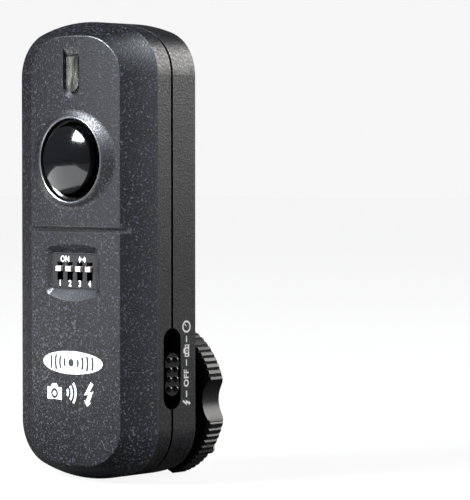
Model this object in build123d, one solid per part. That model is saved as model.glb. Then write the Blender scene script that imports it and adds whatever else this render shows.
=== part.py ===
"""Wireless flash trigger: a hand-sized radio trigger with a hot-shoe foot and a clamping wheel on its back.

Casing coordinates are used while modelling: +X to the right seen from the front, +Y towards the back,
+Z up the long axis, and the plane y = 0 is the parting plane of the two shells.
save() then moves every piece so that the origin is where the foot's axis meets the sole of the foot.
All sizes are in millimetres.
"""
from build123d import *
import os
from math import atan2, cos, pi, sin, sqrt

# ---- casing ----
CASE_H = 84.0
CASE_W = 35.2
CROWN_R = 37.0          # arched top and bottom ends
CORNER_R = 8.5
FRONT_BAND = 3.7        # flat side band, from the parting plane forwards
BACK_BAND = 6.2
FRONT_RISE = 4.45       # sloped shoulder, from the band to the highest line of the front face
BACK_RISE = 5.3
FRONT_FLAT_W = 20.2
FRONT_FLAT_H = 78.8
BACK_FLAT_W = 21.4
BACK_FLAT_H = 77.2
FLAT_CROWN_R = 34.0
FLAT_CORNER_R = 7.0
HOLLOW = 0.06           # how far the shoulder is hollowed, as a share of its inset
WALL = 1.5
GROOVE_W = 0.54         # parting groove round the side band
GROOVE_DEPTH = 0.6
FRONT_Y = -(FRONT_BAND + FRONT_RISE)
BACK_Y = BACK_BAND + BACK_RISE
FACE_HALF_W = 11.4      # the front face bows across its width, between edges this far from the middle
FACE_SAG = 0.95
FACE_R = (FACE_HALF_W**2 + FACE_SAG**2) / (2 * FACE_SAG)

# ---- foot, wheel and contact pin ----
AXIS_Z = -28.4          # shared axis of stem, wheel and centre contact
SOLE_Y = 20.9
PLATE_W = 18.6          # hot-shoe foot width
PLATE_L = 18.5
PLATE_Z = -29.6
PLATE_T = 0.6
FOOT_T = 2.0            # whole thickness of the foot that enters the shoe
STEM_R = 6.0
STEM_ROOT_R = 5.55
STEM_PITCH = 1.5
STEM_FLANGE_R = 8.0
PIN_R = 0.95
BALL_R = 1.35
WHEEL_R = 14.6
WHEEL_Y = 13.95         # wheel's inner face, next to the casing
WHEEL_T = 4.6
WHEEL_BORE_R = STEM_R + 0.07
KNURL_COUNT = 72
SCALLOP_R = 5.4
SCALLOP_AT = 17.7       # distance of each finger scallop's centre from the axis
SCALLOP_TURN = 1.0

# ---- inside ----
BOARD_Y = -2.6          # front face of the circuit board
BOARD_T = 1.0
BOARD_W = 28.6
BOARD_TOP = 37.0
BOARD_POSTS = [(-12.95, 32.0), (12.95, 32.0), (-9.4, -30.6), (9.4, -30.6)]
BOARD_BOTTOM = -33.0
CELL_R = 5.25
CELL_L = 43.3
NUB_R = 1.9
NUB_L = 1.2
CELL_SIDE = 0.12        # from the middle of the bay to the side of each cell
CELL_FOOT = 3.6         # room for the contacts under the cells
BAY_FLOOR_Y = -0.3
BAY_W = 21.7
BAY_TOP = 38.0
BAY_BOTTOM = -12.2
BAY_WALL = 1.0
BAY_WALL_TOP_Y = 6.0
LEDGE_Y = 4.9

# ---- battery cover ----
COVER_W = 24.4
COVER_BOTTOM = -13.0
COVER_CORNER_R = 1.4
COVER_WALL = 1.1
FLARE_Z = 33.5
FLARE_H = 6.2
TIP_X = 14.6
SEAM = 0.22
RAIL_X = 12.1           # side rails that run under the edges of the casing
RAIL_Y = 6.62
RAIL_W = 1.9
RAIL_H = 0.65
RAIL_L = 40.0
RAIL_Z = 8.5

# ---- front features ----
BUTTON_Z = 16.7
BEZEL_R = 8.0
COLLAR_RISE = 0.38      # raised collar of the casing round the bezel
COLLAR_FALL = 1.0       # how far the collar's cone reaches down behind the highest line of the face
COLLAR_W = 2.9
COLLAR_BLEND = 1.6
CAP_R = 6.1
CAP_PROUD = 1.14
DOME_RISE = 1.35
LENS_W = 3.1
LENS_TOP = 35.5
LENS_BOTTOM = 29.15
CHANNEL_DEPTH = 0.7
GROOVE_Z = 4.0
GROOVE_H = 1.0
GROOVE_CUT = 0.85
DIP_W = 10.9
DIP_H = 6.2
DIP_Z = -3.7
DIP_RECESS = 0.92
RECESS_W = 15.2
DIP_PITCH = 2.54
LEVER_W = 1.35
LEVER_H = 0.95
LEVER_PROUD = 0.6
LEVER_Z = -3.25
LABEL_W = 15.4
LABEL_H = 4.25
LABEL_T = 0.12
LABEL_Z = -20.4

# ---- sides ----
SLOT_L = 14.8
SLOT_W = 4.6
SLOT_Z = -21.1
KNOB_W = 3.7
LOBE_AT = 2.05          # from the middle of the knob to the centre of each round end
KNOB_Z = -22.1
KNOB_UP = 4.4
KNOB_DOWN = 2.3
SOCKET_Z = -24.4
SOCKET_R = 2.55
JACK_R = 1.3
JACK_DEPTH = 11.5
SCREW_X = 11.2
SCREW_Z = -36.6


def save(name, shape):
    """Write one named piece, moved so that the origin is on the sole of the foot."""
    os.makedirs("parts", exist_ok=True)
    moved = Pos(0, -SOLE_Y, -AXIS_Z) * shape
    solids = moved.solids()
    export_step(Compound(solids) if len(solids) > 1 else solids[0], f"parts/{name}.step")


def facing(y):
    """Plane at depth y, drawn in x and z, facing forwards."""
    return Plane(origin=(0, y, 0), x_dir=(1, 0, 0), z_dir=(0, -1, 0))


def sideways(x):
    """Plane at x, drawn in y and z, facing +X."""
    return Plane(origin=(x, 0, 0), x_dir=(0, 1, 0), z_dir=(1, 0, 0))


def slab(sketch, y_from, y_to):
    """Solid of a sketch in x and z between two depths."""
    return extrude(facing(y_to) * sketch, y_to - y_from)


def across(sketch, x_from, x_to):
    """Solid of a sketch in y and z between two x values."""
    return extrude(sideways(x_from) * sketch, x_to - x_from)


def rod(radius, y_from, y_to, x=0.0, z=0.0):
    """Round bar along Y."""
    return slab(Pos(x, z) * Circle(radius), y_from, y_to)


def spun(points, x=0.0, z=0.0):
    """Solid turned about an axis along Y from (radius, y) points."""
    profile = Plane.XY * make_face(Polyline(*points, close=True))
    return Pos(x, 0, z) * revolve(profile, Axis.Y)


def outline(width, height, crown, corner):
    """Casing outline: straight sides, arched ends and round corners."""
    half_w = width / 2
    half_h = height / 2
    reach = half_w - corner
    corner_z = half_h - crown + sqrt((crown - corner) ** 2 - reach**2)
    lean = atan2(reach, corner_z - (half_h - crown))
    middle = (pi / 2 + lean) / 2
    touch = (crown * sin(lean), half_h - crown + crown * cos(lean))
    bend = (reach + corner * sin(middle), corner_z + corner * cos(middle))
    edges = Curve()
    for side in (1, -1):
        edges += Line((side * half_w, -corner_z), (side * half_w, corner_z))
        for end in (1, -1):
            start = (side * half_w, end * corner_z)
            over = (side * bend[0], end * bend[1])
            edges += ThreePointArc(start, over, (side * touch[0], end * touch[1]))
    for end in (1, -1):
        edges += ThreePointArc((touch[0], end * touch[1]), (0, end * half_h), (-touch[0], end * touch[1]))
    return make_face(edges)


def case_outline(inset=0.0):
    return outline(CASE_W - 2 * inset, CASE_H - 2 * inset, CROWN_R - inset, CORNER_R - inset)


def bowed(inset=0.0):
    """Everything behind the bowed front face, or behind a face that lies deeper by the inset."""
    return Pos(0, FRONT_Y + FACE_R, 0) * Cylinder(FACE_R - inset, 2 * CASE_H)


def case_half(back, inset=0.0):
    """Solid block of the front or back half; inset makes the cavity inside a wall of that thickness."""
    side = 1 if back else -1
    band = (BACK_BAND if back else FRONT_BAND) - 0.42 * inset
    rise = (BACK_RISE if back else FRONT_RISE) - 0.58 * inset
    flat_w = (BACK_FLAT_W if back else FRONT_FLAT_W) - 1.1 * inset
    flat_h = (BACK_FLAT_H if back else FRONT_FLAT_H) - 1.7 * inset
    width = CASE_W - 2 * inset
    height = CASE_H - 2 * inset
    crown = CROWN_R - inset
    corner = CORNER_R - inset
    flat_crown = FLAT_CROWN_R - inset
    flat_corner = FLAT_CORNER_R - inset

    def ring(share, depth):
        """Section a share of the way up the shoulder."""
        return facing(side * depth) * outline(
            width + share * (flat_w - width),
            height + share * (flat_h - height),
            crown + share * (flat_crown - crown),
            corner + share * (flat_corner - corner),
        )

    middle = ring(0.5 + HOLLOW, band + 0.5 * rise)
    shoulder = loft([ring(0, band), middle, ring(1, band + rise)])
    sides = slab(case_outline(inset), min(0, side * band), max(0, side * band))
    block = sides + shoulder
    return block if back else block & bowed(inset)


def parting_groove(side):
    """Half of the groove that runs round the side band."""
    ring = case_outline(-1.0) - case_outline(GROOVE_DEPTH)
    depth = side * GROOVE_W / 2
    return slab(ring, min(0, depth), max(0, depth))


def side_openings():
    """Slot for the slide switch on the right and the socket's hole on the left."""
    slot_shape = Pos(0, SLOT_Z) * Rot(0, 0, 90) * SlotOverall(SLOT_L, SLOT_W)
    slot = across(slot_shape, CASE_W / 2 - 3, CASE_W / 2 + 1)
    hole = across(Pos(0, SOCKET_Z) * Circle(SOCKET_R + 0.05), -CASE_W / 2 - 1, -CASE_W / 2 + 3)
    return slot + hole


def tongue(width, top, bottom):
    """Window shape with a square top and a round bottom."""
    half = width / 2
    edges = Curve() + [
        Line((-half, bottom + half), (-half, top)),
        Line((-half, top), (half, top)),
        Line((half, top), (half, bottom + half)),
        ThreePointArc((half, bottom + half), (0, bottom), (-half, bottom + half)),
    ]
    return make_face(edges)


def lens_channel():
    """Shallow channel that the lens window sits in, running out at both ends."""
    top = facing(FRONT_Y - 0.01) * tongue(LENS_W + 1.2, LENS_TOP + 1.8, LENS_BOTTOM - 1.25)
    floor = facing(FRONT_Y + CHANNEL_DEPTH) * tongue(LENS_W + 0.3, LENS_TOP + 0.2, LENS_BOTTOM - 0.15)
    return loft([top, floor])


def pocket_ring(half_w, top, low, corner, bow):
    """Outline of the pocket at one depth: round corners and a bottom edge that bows down."""
    edges = Curve() + Line((-half_w + corner, top), (half_w - corner, top))
    edges += ThreePointArc((-half_w + corner, low), (0, low - bow), (half_w - corner, low))
    bend = corner * (1 - sin(pi / 4))
    for side in (-1, 1):
        edges += Line((side * half_w, low + corner), (side * half_w, top - corner))
        for z, turn in ((top, -1), (low, 1)):
            edges += ThreePointArc(
                (side * (half_w - corner), z),
                (side * (half_w - bend), z + turn * bend),
                (side * half_w, z + turn * corner),
            )
    return make_face(edges)


def dip_recess():
    """Pocket of the DIP switch: four sloping walls with a soft mouth; the lowest is a fingertip ramp."""
    top = DIP_Z + DIP_H / 2
    low = DIP_Z - DIP_H / 2
    half = DIP_W / 2
    side = RECESS_W / 2 - half
    mouth = facing(FRONT_Y - 0.01) * pocket_ring(half + side + 0.35, top + 2.05, low - 1.95, 1.9, 0.45)
    throat = facing(FRONT_Y + 0.25) * pocket_ring(half + side - 0.3, top + 1.4, low - 1.4, 1.5, 0.35)
    floor = facing(FRONT_Y + DIP_RECESS) * pocket_ring(half + 0.3, top + 0.3, low - 0.3, 0.4, 0.02)
    return loft([mouth, throat, floor])


def swell(shell):
    """Raise a collar round the bezel: a cone that runs out softly into the bowed face."""
    cone = spun(
        [
            (BEZEL_R - 1, FRONT_Y - COLLAR_RISE),
            (BEZEL_R + 0.12, FRONT_Y - COLLAR_RISE),
            (BEZEL_R + COLLAR_W, FRONT_Y + COLLAR_FALL),
            (BEZEL_R + COLLAR_W, FRONT_Y + WALL),
            (BEZEL_R - 1, FRONT_Y + WALL),
        ],
        0,
        BUTTON_Z,
    )
    raised = shell + cone
    foot = raised.edges().filter_by(on_collar_foot)
    return fillet(foot, COLLAR_BLEND)


def on_collar_foot(edge):
    """Whether an edge is part of the closed line where the collar meets the bowed face."""
    for share in (0, 0.5, 1):
        spot = edge @ share
        radius = sqrt(spot.X**2 + (spot.Z - BUTTON_Z) ** 2)
        on_face = abs(spot.Y - (FRONT_Y + FACE_R - sqrt(FACE_R**2 - spot.X**2))) < 0.01
        if not on_face or radius < BEZEL_R + 0.3 or radius > BEZEL_R + COLLAR_W:
            return False
    return True


def front_shell():
    shell = case_half(False)
    flat_edge = shell.faces().sort_by(Axis.Y)[0].edges()
    shell = fillet(flat_edge, 0.35)
    inner = case_half(False, WALL)
    shell -= inner
    bezel_hole = rod(BEZEL_R - 0.3, FRONT_Y - 1, FRONT_Y + 3, 0, BUTTON_Z)
    bezel_seat = rod(BEZEL_R + 0.02, FRONT_Y - 1, FRONT_Y + 0.5, 0, BUTTON_Z)
    shell = swell(shell)
    window = tongue(LENS_W + 0.1, LENS_TOP + 0.05, LENS_BOTTOM - 0.05)
    lens_hole = slab(window, FRONT_Y - 1, FRONT_Y + 3)
    floor_shape = Pos(0, DIP_Z) * Rectangle(RECESS_W + 2.4, DIP_H + 8.2)
    dip_floor = slab(floor_shape, FRONT_Y + WALL - 0.1, FRONT_Y + DIP_RECESS + 0.9)
    dip_hole = slab(Pos(0, DIP_Z) * Rectangle(DIP_W + 0.16, DIP_H + 0.16), FRONT_Y - 1, BOARD_Y)
    groove_line = slab(Pos(0, GROOVE_Z) * Rectangle(CASE_W, GROOVE_H), FRONT_Y - 1, FRONT_Y + 4)
    cross_groove = groove_line - bowed(GROOVE_CUT)
    shell += dip_floor & case_half(False, 0.5)
    for x, z in BOARD_POSTS:
        shell += rod(1.2, FRONT_Y + WALL - 0.5, BOARD_Y, x, z) & case_half(False, 0.5)
    for x in (-SCREW_X, SCREW_X):
        shell += rod(2.1, FRONT_Y + WALL - 0.5, 0, x, SCREW_Z) & case_half(False, 0.5)
    for cut in (bezel_hole, bezel_seat, lens_channel(), lens_hole):
        shell -= cut
    for cut in (dip_recess(), dip_hole, cross_groove):
        shell -= cut
    for x, z in BOARD_POSTS:
        shell -= rod(0.83, BOARD_Y - 2.2, BOARD_Y + 0.1, x, z)
    for x in (-SCREW_X, SCREW_X):
        shell -= rod(1.03, -4.0, 0.1, x, SCREW_Z)
    shell -= parting_groove(-1)
    return shell - side_openings()


def cover_region(gap=0.0):
    """Battery cover seen from the back: straight sides, round lower corners and a flared top end."""
    half = COVER_W / 2 + gap
    low = COVER_BOTTOM - gap
    r = COVER_CORNER_R
    bend = r * (1 - sin(pi / 4))
    top = CASE_H / 2 + 4
    tip = TIP_X + gap
    edges = Curve() + [Line((-half + r, low), (half - r, low)), Line((tip, top), (-tip, top))]
    for side in (-1, 1):
        edges += ThreePointArc(
            (side * (half - r), low), (side * (half - bend), low + bend), (side * half, low + r)
        )
        edges += Line((side * half, low + r), (side * half, FLARE_Z))
        edges += ThreePointArc(
            (side * half, FLARE_Z),
            (side * (half + 0.28 * (tip - half)), FLARE_Z + 0.58 * FLARE_H),
            (side * tip, FLARE_Z + FLARE_H),
        )
        edges += Line((side * tip, FLARE_Z + FLARE_H), (side * tip, top))
    return make_face(edges)


def back_block():
    """Outer form of the back half, with its flat's edge rounded."""
    block = case_half(True)
    return fillet(block.faces().sort_by(Axis.Y)[-1].edges(), 0.35)


def back_shell():
    shell = back_block() - case_half(True, WALL)
    bay_w = BAY_W + 2 * BAY_WALL
    bay_h = BAY_TOP - BAY_BOTTOM + 2 * BAY_WALL
    bay_z = (BAY_TOP + BAY_BOTTOM) / 2
    outer = slab(Pos(0, bay_z) * Rectangle(bay_w, bay_h), BAY_FLOOR_Y - 1.0, BAY_WALL_TOP_Y)
    inner = slab(Pos(0, bay_z) * Rectangle(BAY_W, BAY_TOP - BAY_BOTTOM), BAY_FLOOR_Y, BAY_WALL_TOP_Y + 1)
    ledge = slab(Pos(0, bay_z) * Rectangle(CASE_W - 2, bay_h), LEDGE_Y, BAY_WALL_TOP_Y)
    bay = (outer + ledge) & (case_half(True, COVER_WALL + 0.15) + case_half(False, 1.6))
    shell -= slab(cover_region(SEAM), BACK_BAND - 0.15, BACK_Y + 1)
    shell += bay
    shell -= inner
    for side in (-1, 1):
        shell -= Pos(side * RAIL_X, RAIL_Y, BAY_TOP) * Box(RAIL_W + 0.4, RAIL_H + 0.4, 30.0)
    for x in (-SCREW_X, SCREW_X):
        shell += rod(2.6, 0, BACK_BAND + 2, x, SCREW_Z) & case_half(True, 0.5)
        shell -= rod(1.875, 4.2, BACK_Y, x, SCREW_Z)
        shell -= rod(1.12, -0.1, 5, x, SCREW_Z)
    shell += rod(STEM_FLANGE_R + 1.2, BACK_Y - WALL - 1.4, BACK_Y - 0.5, 0, AXIS_Z) & case_half(True, 0.5)
    shell -= rod(STEM_FLANGE_R + 0.05, BACK_Y - WALL - 3, BACK_Y - WALL, 0, AXIS_Z)
    shell -= rod(STEM_R + 0.05, 0, BACK_Y + 1, 0, AXIS_Z)
    shell -= parting_groove(1)
    return shell - side_openings()


def letter_bars():
    """The word OPEN in plain strokes, placed to read right from behind with the top end down."""
    high = 2.6
    wide = 1.75
    bar = 0.42
    pitch = 2.4

    def frame(parts):
        letter = Sketch()
        for x0, z0, x1, z1 in parts:
            letter += Pos((x0 + x1) / 2, (z0 + z1) / 2) * Rectangle(x1 - x0, z1 - z0)
        return letter

    left = (0, 0, bar, high)
    right = (wide - bar, 0, wide, high)
    top = (0, high - bar, wide, high)
    low = (0, 0, wide, bar)
    mid = (0, high / 2 - bar / 2, wide, high / 2 + bar / 2)
    slant = make_face(Polyline((0, high), (bar, high), (wide, 0), (wide - bar, 0), close=True))
    middle = (wide / 2, high / 2)
    round_o = Pos(*middle) * (
        RectangleRounded(wide, high, 0.8) - RectangleRounded(wide - 2 * bar, high - 2 * bar, 0.45)
    )
    bowl_h = high / 2 + bar / 2
    bowl = RectangleRounded(wide, bowl_h, 0.74) - RectangleRounded(wide - 2 * bar, bowl_h - 2 * bar, 0.32)
    bowl = Pos(wide / 2, high - bowl_h / 2) * bowl
    stub = frame([(0, high - bar, wide / 2, high), (0, high - bowl_h, wide / 2, high - bowl_h + bar)])
    letters = [
        round_o,
        bowl + stub + frame([left]),
        frame([left, top, low, mid]),
        frame([left, right]) + slant,
    ]
    word = Sketch()
    for i, letter in enumerate(letters):
        word += Pos(i * pitch, 0) * letter
    span = 3 * pitch + wide
    return Pos(0, -4.75) * mirror(Pos(-span / 2, -high / 2) * word, Plane.XZ)


def battery_cover():
    block = back_block()
    region = slab(cover_region(), BACK_BAND + 0.05, BACK_Y + 1)
    cover = (block & region) - case_half(True, COVER_WALL)
    for side in (-1, 1):
        web = Pos(side * (RAIL_X - RAIL_W / 2 + 0.35), RAIL_Y + 1.5, RAIL_Z) * Box(0.7, 3.6, RAIL_L)
        rail = Pos(side * RAIL_X, RAIL_Y, RAIL_Z) * Box(RAIL_W, RAIL_H, RAIL_L)
        cover += (web + rail) & case_half(True, 0.6)
    arrow = make_face(Polyline((-4.35, 0.4), (4.35, 0.4), (0, 4.1), close=True))
    mark = fillet(arrow.vertices(), 0.3)
    bar = Pos(0, -1.4) * RectangleRounded(8.8, 1.3, 0.25)
    for sign in (mark, bar, letter_bars()):
        cover -= slab(Sketch() + sign, BACK_Y - 0.3, BACK_Y + 1)
    return cover


def lens():
    """Clear light pipe with a bowed face."""
    foot = slab(tongue(LENS_W, LENS_TOP, LENS_BOTTOM), FRONT_Y + 0.45, -3.6)
    bow_r = 3.4
    bow = Pos(0, FRONT_Y + bow_r, (LENS_TOP + LENS_BOTTOM) / 2) * Cylinder(bow_r, LENS_TOP - LENS_BOTTOM)
    front = slab(tongue(LENS_W, LENS_TOP, LENS_BOTTOM), FRONT_Y - 1, FRONT_Y + 0.6)
    return foot + (front & bow)


def button_bezel():
    """Ring round the button: a thin raised rim, a slope and an inner step."""
    rim_y = FRONT_Y - COLLAR_RISE - 0.08
    return spun(
        [
            (BEZEL_R - 0.02, FRONT_Y + 0.48),
            (BEZEL_R - 0.02, rim_y + 0.1),
            (BEZEL_R - 0.18, rim_y),
            (BEZEL_R - 0.36, rim_y + 0.1),
            (BEZEL_R - 0.7, rim_y + 0.8),
            (BEZEL_R - 1.05, rim_y + 1.0),
            (BEZEL_R - 1.15, rim_y + 1.15),
            (BEZEL_R - 1.35, rim_y + 2.1),
            (CAP_R + 0.08, FRONT_Y + 2.0),
            (CAP_R + 0.08, FRONT_Y + 2.5),
            (BEZEL_R - 0.35, FRONT_Y + 2.5),
            (BEZEL_R - 0.35, FRONT_Y + 0.48),
        ],
        0,
        BUTTON_Z,
    )


def button_cap():
    """Domed cap with a collar that stops it behind the bezel."""
    top = FRONT_Y - CAP_PROUD
    dome_r = (CAP_R**2 + DOME_RISE**2) / (2 * DOME_RISE)
    skirt = rod(CAP_R, top, FRONT_Y + 2.9, 0, BUTTON_Z)
    dome = Pos(0, top + dome_r - DOME_RISE, BUTTON_Z) * Sphere(dome_r)
    dome &= rod(CAP_R, top - DOME_RISE - 1, top, 0, BUTTON_Z)
    cap = skirt + dome
    rim = cap.edges().filter_by(GeomType.CIRCLE).filter_by(lambda e: abs(e.center().Y - top) < 0.01)
    cap = fillet(rim, 0.3)
    cap += rod(CAP_R + 0.7, FRONT_Y + 2.55, FRONT_Y + 3.0, 0, BUTTON_Z)
    cap -= rod(CAP_R - 1.3, top + 1.2, FRONT_Y + 4, 0, BUTTON_Z)
    return cap + rod(1.6, top + 1.1, BOARD_Y - 2.15, 0, BUTTON_Z)


def tact_switch():
    body = slab(Pos(0, BUTTON_Z) * RectangleRounded(6.0, 6.0, 0.5), BOARD_Y - 1.3, BOARD_Y)
    return body - rod(1.75, BOARD_Y - 2, BOARD_Y - 0.25, 0, BUTTON_Z)


def tact_plunger():
    return rod(1.65, BOARD_Y - 2.12, BOARD_Y - 1.12, 0, BUTTON_Z)


def dip_cover():
    """Black face of the DIP switch with its four lever slots."""
    face_y = FRONT_Y + DIP_RECESS
    body = slab(Pos(0, DIP_Z) * Rectangle(DIP_W, DIP_H), face_y, BOARD_Y - 1.2)
    for x in dip_places():
        body -= slab(Pos(x, DIP_Z) * Rectangle(LEVER_W + 0.1, 3.4), face_y - 1, BOARD_Y)
    return body


def dip_base():
    base = slab(Pos(0, DIP_Z) * Rectangle(DIP_W, DIP_H), BOARD_Y - 1.18, BOARD_Y)
    for x in dip_places():
        base -= slab(Pos(x, DIP_Z) * Rectangle(LEVER_W + 0.1, 3.4), BOARD_Y - 2, BOARD_Y - 0.5)
    return base


def dip_places():
    return [(i - 1.5) * DIP_PITCH for i in range(4)]


def dip_lever(x):
    face_y = FRONT_Y + DIP_RECESS
    lever = slab(Pos(x, LEVER_Z) * Rectangle(LEVER_W, LEVER_H), face_y - LEVER_PROUD, BOARD_Y - 0.55)
    tip = lever.faces().sort_by(Axis.Y)[0].edges()
    return fillet(tip, 0.12)


def mode_knob():
    """Slide cap with two round lobes and a grid of eight grip pimples."""
    out = CASE_W / 2 + 0.05
    lobes = Pos(0, KNOB_Z) * (
        Pos(0, LOBE_AT) * Circle(KNOB_W / 2)
        + Pos(0, -LOBE_AT) * Circle(KNOB_W / 2)
        + Rectangle(KNOB_W - 0.8, 2 * LOBE_AT - 0.1)
    )
    cap = across(lobes, out - 1.9, out)
    cap += across(Pos(0, KNOB_Z) * Rectangle(1.9, 1.9), out - 4.9, out - 1.8)
    for row in range(4):
        for side in (-0.85, 0.85):
            z = KNOB_Z + (row - 1.5) * 1.75
            cap += Pos(out, side, z) * Sphere(0.55)
    return cap


def mode_switch():
    """Slide switch body on the back of the board, with a slot for the knob's stem."""
    z_mid = KNOB_Z + (KNOB_UP - KNOB_DOWN) / 2
    board_back = BOARD_Y + BOARD_T
    body = Pos(11.55, (board_back + 2.3) / 2, z_mid) * Box(4.9, 2.3 - board_back, 14.4)
    slot = Pos(13.2, 0, z_mid) * Box(4.0, 2.1, 9.4)
    return body - slot


def sync_jack():
    """Jack body on the back of the board, bored for a 2.5 mm plug."""
    board_back = BOARD_Y + BOARD_T
    wall_x = -CASE_W / 2 + WALL + 0.15
    end_x = -CASE_W / 2 + JACK_DEPTH + 1.6
    high = 2.6 - board_back
    body = Pos((wall_x + end_x) / 2, board_back + high / 2, SOCKET_Z) * Box(end_x - wall_x, high, 5.4)
    return body - across(Pos(0, SOCKET_Z) * Circle(JACK_R), -CASE_W / 2 - 1, -CASE_W / 2 + JACK_DEPTH)


def socket_ring():
    """Bright ring round the jack's mouth, standing a little proud of the side."""
    inner_x = -CASE_W / 2 + WALL + 0.12
    ring = across(Pos(0, SOCKET_Z) * Circle(SOCKET_R), -CASE_W / 2 - 0.35, inner_x)
    mouth = ring.faces().sort_by(Axis.X)[0].edges()
    ring = fillet(mouth, 0.3)
    ring -= across(Pos(0, SOCKET_Z) * Circle(JACK_R), -CASE_W / 2 - 1, 0)
    flare = Pos(-CASE_W / 2 - 0.35, 0, SOCKET_Z) * Rot(0, 90, 0) * Cone(JACK_R + 0.45, JACK_R, 0.9)
    return ring - flare


def circuit_board():
    mid = (BOARD_TOP + BOARD_BOTTOM) / 2
    shape = Pos(0, mid) * RectangleRounded(BOARD_W, BOARD_TOP - BOARD_BOTTOM, 4.0)
    board = slab(shape, BOARD_Y, BOARD_Y + BOARD_T)
    for x, z in BOARD_POSTS:
        board -= rod(0.9, BOARD_Y - 1, BOARD_Y + 2, x, z)
    return board


def board_screws():
    group = Part()
    for x, z in BOARD_POSTS:
        back = BOARD_Y + BOARD_T
        screw = rod(0.8, BOARD_Y - 2.0, back, x, z) + rod(1.05, back, back + 0.6, x, z)
        screw -= Pos(x, back + 0.6, z) * Box(1.6, 0.5, 0.35)
        group += screw
    return group


def case_screws():
    """Two self-tapping screws that hold the lower end together."""
    group = Part()
    for x in (-SCREW_X, SCREW_X):
        screw = rod(1.0, -3.8, 4.2, x, SCREW_Z) + rod(1.7, 4.2, 5.5, x, SCREW_Z)
        screw -= Pos(x, 5.5, SCREW_Z) * Box(2.2, 1.4, 0.5)
        screw -= Pos(x, 5.5, SCREW_Z) * Box(0.5, 1.4, 2.2)
        group += screw
    return group


def radio_board():
    """Small radio board that carries the screening can and the antenna."""
    return slab(Pos(0, -21.0) * Rectangle(13.0, 15.0), BOARD_Y - 0.8, BOARD_Y)


def radio_can():
    return slab(Pos(0, -22.6) * RectangleRounded(10.6, 10.2, 0.6), BOARD_Y - 2.4, BOARD_Y - 0.8)


def antenna():
    """Helical antenna, as its wound outer form, on the radio board's top edge."""
    turns = 6
    pitch = 1.5
    start = -turns * pitch / 2
    points = [(0, start)]
    for i in range(turns):
        turn_y = start + i * pitch
        points += [(1.0, turn_y + 0.25), (1.0, turn_y + 0.75), (0.7, turn_y + 1.1)]
    points += [(0, -start)]
    coil = revolve(make_face(Polyline(*points, close=True)), Axis.Y)
    return Pos(0, BOARD_Y - 1.15, -11.6) * Rot(0, 0, 90) * coil


def status_led():
    mid = (LENS_TOP + LENS_BOTTOM) / 2
    return slab(Pos(0, mid) * Rectangle(1.6, 3.0), BOARD_Y - 0.8, BOARD_Y)


def crystal():
    return slab(Pos(8.6, -8.0) * RectangleRounded(3.2, 5.0, 0.5), BOARD_Y - 1.2, BOARD_Y)


def cell(side):
    """AAA cell; the left one stands with its positive nub up, the right one down."""
    x = side * (CELL_R + CELL_SIDE)
    y = BAY_FLOOR_Y + CELL_R + 0.05
    low = BAY_BOTTOM + CELL_FOOT
    body = Pos(x, y, low + CELL_L / 2) * Cylinder(CELL_R, CELL_L)
    ends = body.edges().filter_by(GeomType.CIRCLE)
    body = fillet(ends, 0.5)
    if side < 0:
        nub_z = low + CELL_L + NUB_L / 2
    else:
        nub_z = low - NUB_L / 2
    return body + Pos(x, y, nub_z) * Cylinder(NUB_R, NUB_L)


def cell_spring(side):
    """Conical contact spring at the flat end of one cell, as its wound outer form."""
    x = side * (CELL_R + CELL_SIDE)
    y = BAY_FLOOR_Y + CELL_R + 0.05
    low = BAY_BOTTOM + CELL_FOOT
    coils = 4
    if side < 0:
        start = BAY_BOTTOM + 0.5
        end = low - 0.02
    else:
        start = BAY_TOP - 0.5
        end = low + CELL_L + 0.02
    step = (end - start) / coils
    points = [(0, start)]
    for i in range(coils):
        r = 3.6 - 0.45 * i
        for reach, share in ((r, 0.15), (r, 0.6), (r - 0.6, 0.85)):
            points += [(reach, start + step * (i + share))]
    points += [(r - 0.6, end), (0, end)]
    profile = make_face(Polyline(*points, close=True))
    coil = revolve(Plane.XZ * profile, Axis.Z)
    return Pos(x, y, 0) * coil


def contact_plates():
    """Sprung steel contacts let into the two ends of the battery bay."""
    y = BAY_FLOOR_Y + CELL_R + 0.05
    high = BAY_WALL_TOP_Y + 1.2 - BAY_FLOOR_Y
    mid = BAY_FLOOR_Y + 0.2 + high / 2
    link = Pos(0, mid, BAY_BOTTOM + 0.25) * Box(BAY_W - 1.2, high, 0.5)
    group = Part() + link
    for side in (-1, 1):
        group += Pos(side * (CELL_R + CELL_SIDE), mid, BAY_TOP - 0.25) * Box(8.4, high, 0.5)
    bump = Pos(CELL_R + CELL_SIDE, y, BAY_BOTTOM + 1.4) * Cylinder(1.5, 1.95)
    top_bump = Pos(-CELL_R - CELL_SIDE, y, BAY_TOP - 1.25) * Cylinder(1.5, 1.6)
    return group + bump + top_bump


def label_plate():
    """Thin oval name plate, left without any name; it lies on the bowed face."""
    oval = slab(Pos(0, LABEL_Z) * Ellipse(LABEL_W / 2, LABEL_H / 2), FRONT_Y - 1, FRONT_Y + 1)
    return oval & (bowed(-LABEL_T) - bowed())


def foot_stem():
    """Fixed threaded stem with a flange inside the casing; ring grooves stand for its thread."""
    low = BACK_Y - WALL
    end = SOLE_Y - FOOT_T
    points = [(0, low - 1.8), (STEM_FLANGE_R, low - 1.8), (STEM_FLANGE_R, low), (STEM_R, low)]
    y = BACK_Y + 0.3
    while y + STEM_PITCH < end - 0.3:
        points += [(STEM_R, y), (STEM_ROOT_R, y + 0.4), (STEM_ROOT_R, y + 0.7), (STEM_R, y + 1.1)]
        y += STEM_PITCH
    points += [(STEM_R, end), (0, end)]
    stem = spun(points, 0, AXIS_Z)
    stem -= rod(PIN_R + 1.15, low - 3, end - 1.2, 0, AXIS_Z)
    return stem - rod(PIN_R + 0.05, low - 3, end + 1, 0, AXIS_Z)


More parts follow.
